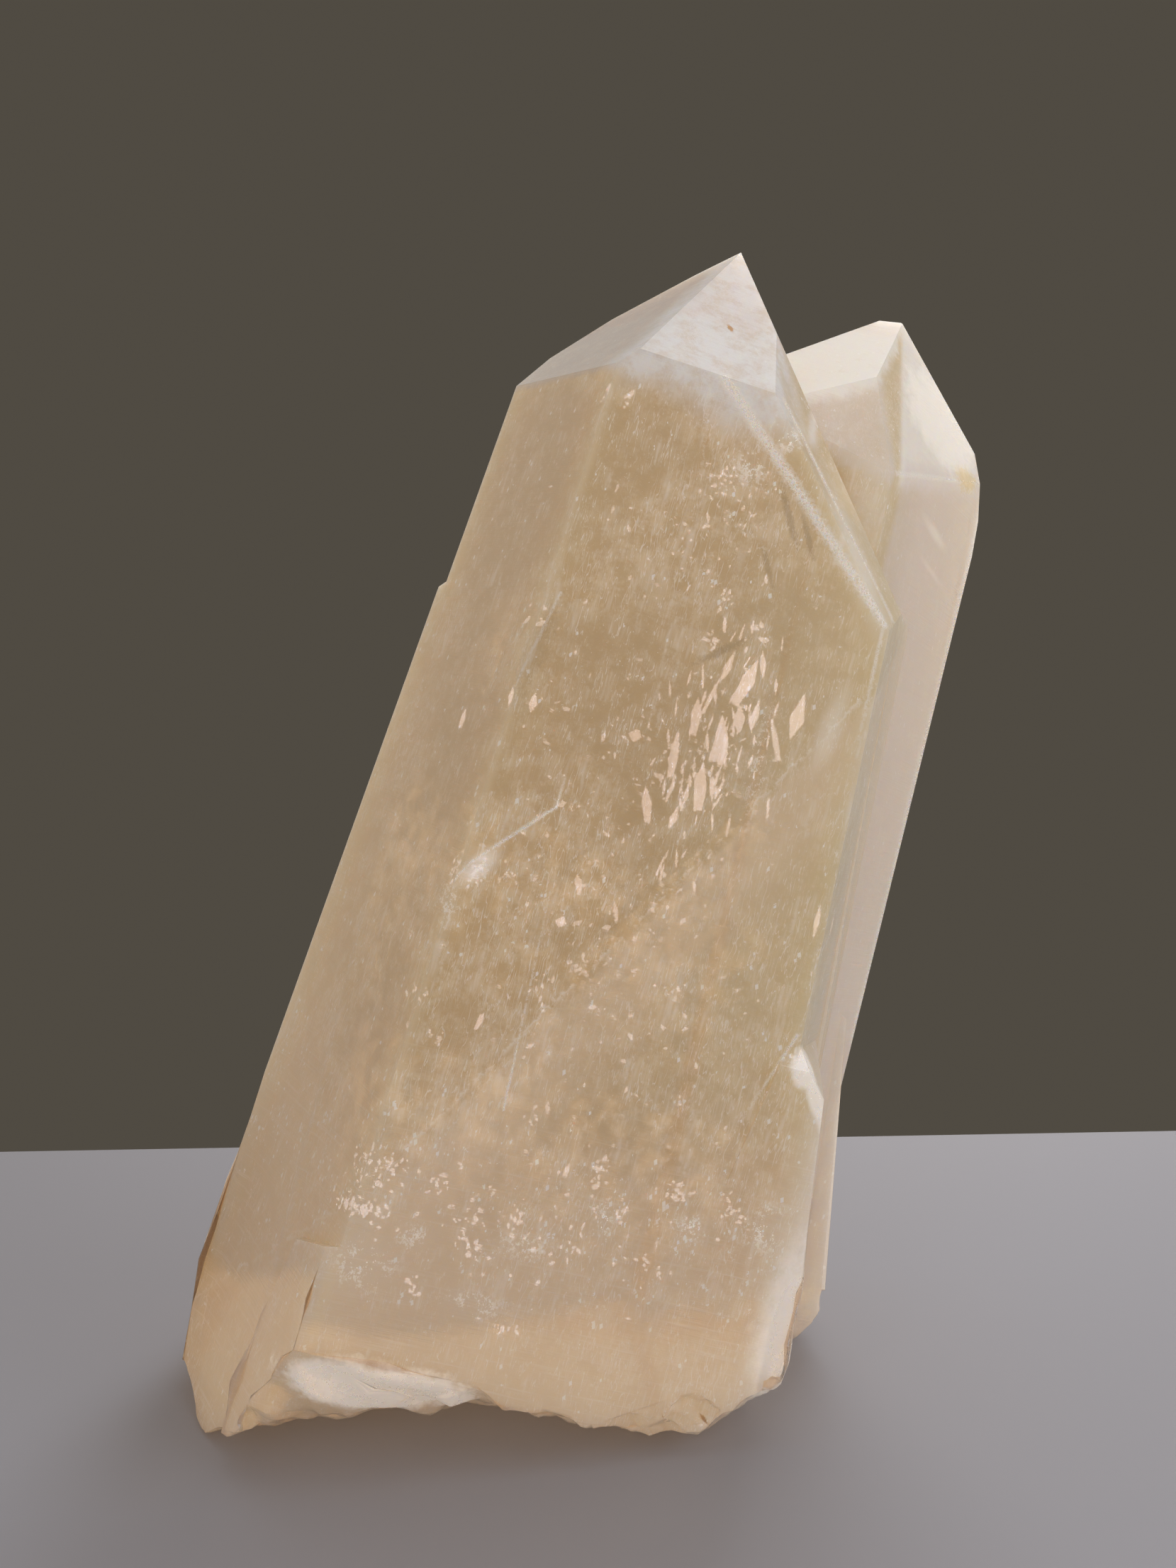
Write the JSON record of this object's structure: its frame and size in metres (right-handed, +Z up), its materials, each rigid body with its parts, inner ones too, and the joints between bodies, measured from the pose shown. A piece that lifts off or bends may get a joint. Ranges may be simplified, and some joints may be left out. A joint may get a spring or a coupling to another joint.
{
  "type": "citrine crystal",
  "caption": "Pale honey, milky quartz crystal: a broad leaning prism with a pointed tip and a shorter crystal grown against its side, standing on its broken base.",
  "frame": {"origin": "middle of the bounding box's underside, on the surface that the crystal stands on", "axes": "+Z up; the broad front face looks along -Y, turned 7 degrees towards +X; the long axis leans 16.5 degrees to +X"},
  "size_m": [0.147, 0.0688, 0.1918],
  "materials": {
    "quartz": "clear to milky quartz with smooth natural faces and a rough, glassy broken base"
  },
  "bodies": {
    "root": {"citrine_crystal": "quartz"}
  },
  "joints": []
}
